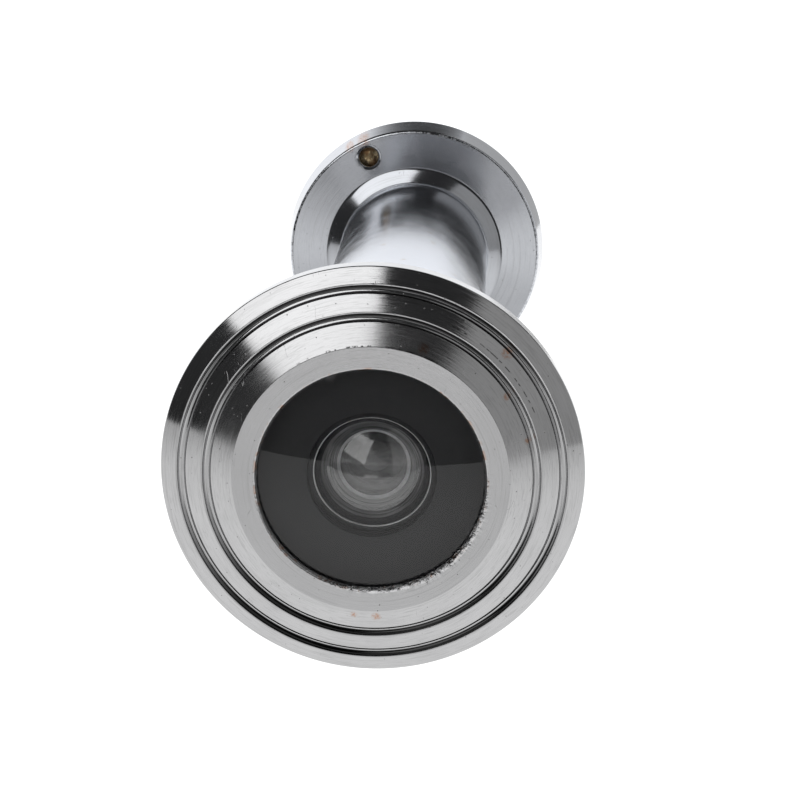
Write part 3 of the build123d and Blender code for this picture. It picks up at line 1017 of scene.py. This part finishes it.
cover_rim, cover_bevel, cover_rise = 0.9, 0.3, 0.6  # thickness of its rim, and how far it is domed
spot_height, spot_radius = 0.95, 2.3  # the flat sunk for the rivet's head
rim_back = cover_front + cover_rim
cover_corners = [
    (0, cover_front),
    (cover_radius, cover_front, 0.12),
    (cover_radius, rim_back - cover_bevel, 0.12),
    (cover_radius - cover_bevel, rim_back, 0.12),
]
cover_dome = dome(cover_radius - cover_bevel, rim_back, rim_back + cover_rise, 32)[::-1]
cover = lathe("swing_cover", rounded(cover_corners)[:-1] + cover_dome)
spot = cover_front + spot_height
spot_cutter = [
    (0, spot),
    (spot_radius, spot),
    (spot_radius + 0.1, spot + 0.04),
    (spot_radius + 0.16, spot + 0.12),
    (spot_radius + 0.3, spot + 1),
    (0, spot + 1),
]
pin_cutter = section(0, rivet_hole, cover_front - 1, spot + 1)


def thumb_rib():
    """A round-ended rib opposite the pivot, domed along its back."""
    length, width, reach, top = 4.4, 0.9, 8.8, 1.75
    half, end = width / 2, (length - width) / 2
    rings = [(1.12, 0.0), (1.0, 0.12), (0.97, 0.45), (0.88, 0.72), (0.7, 0.9), (0.45, 0.98)]  # width, height
    base, rise = rim_back - 0.3, top - cover_rim + 0.3
    away = (-math.cos(pivot_angle), -math.sin(pivot_angle))
    along = (-away[1], away[0])
    verts, faces, count = [], [], 48
    for scale, height in rings + [(0.0, 1.0)]:
        for k in range(count):
            a = 2 * math.pi * k / count
            u = half * scale * math.cos(a)
            v = half * scale * math.sin(a)
            v += math.copysign(end, math.sin(a)) if abs(math.sin(a)) > 1e-9 else 0.0
            x = away[0] * (reach + u) + along[0] * v
            z = away[1] * (reach + u) + along[1] * v
            verts.append((x * MM, (base + rise * height) * MM, z * MM))
    rows = len(rings) + 1
    for row in range(rows - 1):
        for k in range(count):
            n = (k + 1) % count
            low, high = row * count, (row + 1) * count
            faces.append([low + k, low + n, high + n, high + k])
    faces.append(list(range(count)))
    faces.append(list(range((rows - 1) * count, rows * count)))
    return finish_mesh(new_object("thumb_rib", verts, faces))


combine(cover, thumb_rib(), "UNION")
combine(cover, lathe("spot_cutter", spot_cutter, PIVOT_STEPS, pivot), "DIFFERENCE")
combine(cover, lathe("pin_cutter", rounded(pin_cutter), PIVOT_STEPS, pivot), "DIFFERENCE")
put(cover, "cover", "privacy_cover", "chrome", chrome_cover)

# Studio ----------------------------------------------------------------------------------------------------


def direction(azimuth, elevation):
    """A direction from the object, in degrees: azimuth 0 is towards -Y and 90 towards +X."""
    a, e = math.radians(azimuth), math.radians(elevation)
    return Vector((math.sin(a) * math.cos(e), -math.cos(a) * math.cos(e), math.sin(e)))


def card(name, corners, distance, strength, fades=()):
    """A flat panel that the metal reflects and the camera doesn't see. Its corners are (azimuth, elevation).
    fades lists (corner, next corner, degrees): the edges towards which the panel's light falls off."""
    rays = [direction(*c) for c in corners]
    facing = sum(rays, Vector()).normalized()
    verts = [ray * (distance / ray.dot(facing)) for ray in rays]
    panel = new_object(name, verts, [list(range(len(verts)))])
    s = Shader(name)
    light = strength
    for start, end, width in fades:
        inward = rays[start].cross(rays[end]).normalized()
        if inward.dot(facing) < 0:
            inward.negate()
        towards = s.vector("NORMALIZE", s.place)
        past_edge = s.vector("DOT_PRODUCT", towards, tuple(inward))
        light = s.math("MULTIPLY", light, s.ramp(past_edge, 0.0, math.radians(width)))
    emission = s.node("Emission", {"Color": grey(1.0), "Strength": light})
    s.node("OutputMaterial", {"Surface": emission.outputs[0]})
    panel.data.materials.append(s.material)
    panel.visible_camera = False


near_card, far_card = 0.9, 1.2  # metres
softbox = [(-11.5, 2.6), (2, 40), (-36, 52), (-50, 21)]
card("softbox", softbox, near_card, 1.55, fades=[(0, 1, 2.5), (3, 0, 2.5)])
card("grey_card", [(29, 55), (29, -20), (80, -20), (80, 55)], far_card, 0.38)
side_card = [(-152, -40), (-118, -40), (-118, 42), (-152, 52)]
card("side_card", side_card, far_card, 1.35, fades=[(2, 3, 16), (0, 1, 6)])
card("right_wing", [(120, -30), (166, -30), (166, 52), (120, 52)], far_card, 0.55)
low_card = [(-15, -8), (-15, -22), (10, -22), (10, -8)]
card("low_card", low_card, near_card, 1.25, fades=[(0, 1, 4), (2, 3, 4), (3, 0, 6)])

# The floor is well below the viewer, and ends about half a metre in front of it.
floor_low, floor_front, floor_back, floor_half = -0.15, 0.568, 4.0, 3.0
floor_turn = math.radians(6)
ahead = Vector((math.sin(floor_turn), -math.cos(floor_turn), 0))
across = Vector((math.cos(floor_turn), math.sin(floor_turn), 0))
corners = []
for side, far in ((-1, floor_front), (1, floor_front), (1, -floor_back), (-1, -floor_back)):
    corners.append(ahead * far + across * side * floor_half + Vector((0, 0, floor_low)))
floor = new_object("floor", corners, [[0, 1, 2, 3]])


def floor_material():
    """White card with a faint tooth, lit from below like a light table."""
    s = Shader("floor_white")
    tooth = s.noise(s.place, 0.05, 2.0)
    tone = s.mix(tooth, grey(0.15), grey(0.17))
    near = s.ramp(s.y, -550.0, -40.0, 0.62, 0.95)
    back = s.ramp(s.y, 60.0, 260.0, 0.0, 0.25)
    glow = s.node("Emission", {"Color": grey(1.0), "Strength": s.math("ADD", near, back)})
    paper = s.node("BsdfDiffuse", {"Color": tone})
    both = s.node("AddShader", {0: glow.outputs[0], 1: paper.outputs[0]})
    s.node("OutputMaterial", {"Surface": both.outputs[0]})
    return s.material


floor.data.materials.append(floor_material())


def studio_world():
    """A white sweep behind the object, dark above and in front, and white wherever the camera sees it."""
    world = bpy.data.worlds.new("studio")
    bpy.context.scene.world = world
    world.use_nodes = True
    nodes, links = world.node_tree.nodes, world.node_tree.links
    nodes.clear()

    def ramp(value, low, high, start, end):
        made = nodes.new("ShaderNodeMapRange")
        made.interpolation_type = "SMOOTHSTEP"
        links.new(value, made.inputs["Value"])
        for key, number in (("From Min", low), ("From Max", high), ("To Min", start), ("To Max", end)):
            made.inputs[key].default_value = number
        return made.outputs[0]

    place = nodes.new("ShaderNodeTexCoord")
    split = nodes.new("ShaderNodeSeparateXYZ")
    links.new(place.outputs["Generated"], split.inputs[0])
    behind = ramp(split.outputs["Y"], -0.1, 0.3, 0.0, 1.25)
    low = ramp(split.outputs["Z"], 0.34, 0.5, 1.0, 0.0)
    sweep = nodes.new("ShaderNodeMath")
    sweep.operation = "MULTIPLY_ADD"
    links.new(behind, sweep.inputs[0])
    links.new(low, sweep.inputs[1])
    sweep.inputs[2].default_value = 0.035
    path = nodes.new("ShaderNodeLightPath")
    pick = nodes.new("ShaderNodeMix")
    links.new(path.outputs["Is Camera Ray"], pick.inputs[0])
    links.new(sweep.outputs[0], pick.inputs[2])
    pick.inputs[3].default_value = 1.0
    background = nodes.new("ShaderNodeBackground")
    background.inputs["Color"].default_value = (0.97, 0.98, 1.0, 1.0)
    links.new(pick.outputs[0], background.inputs["Strength"])
    output = nodes.new("ShaderNodeOutputWorld")
    links.new(background.outputs[0], output.inputs["Surface"])


studio_world()

# Camera: above the line of sight and a little to its right
camera_data = bpy.data.cameras.new("camera")
camera = bpy.data.objects.new("camera", camera_data)
bpy.context.scene.collection.objects.link(camera)
bpy.context.scene.camera = camera
camera_data.sensor_width = 36.0
camera_data.lens = 92.25
camera_data.clip_start, camera_data.clip_end = 0.01, 20.0
camera_azimuth, camera_elevation, camera_distance = 2.8, 16.7, 125.45 * MM
target = Vector((1.643, 0.3, 4.27)) * MM
camera.location = target + direction(camera_azimuth, camera_elevation) * camera_distance
camera.rotation_mode = "QUATERNION"
camera.rotation_quaternion = (target - camera.location).to_track_quat("-Z", "Y")

bpy.context.scene.view_settings.view_transform = "Standard"
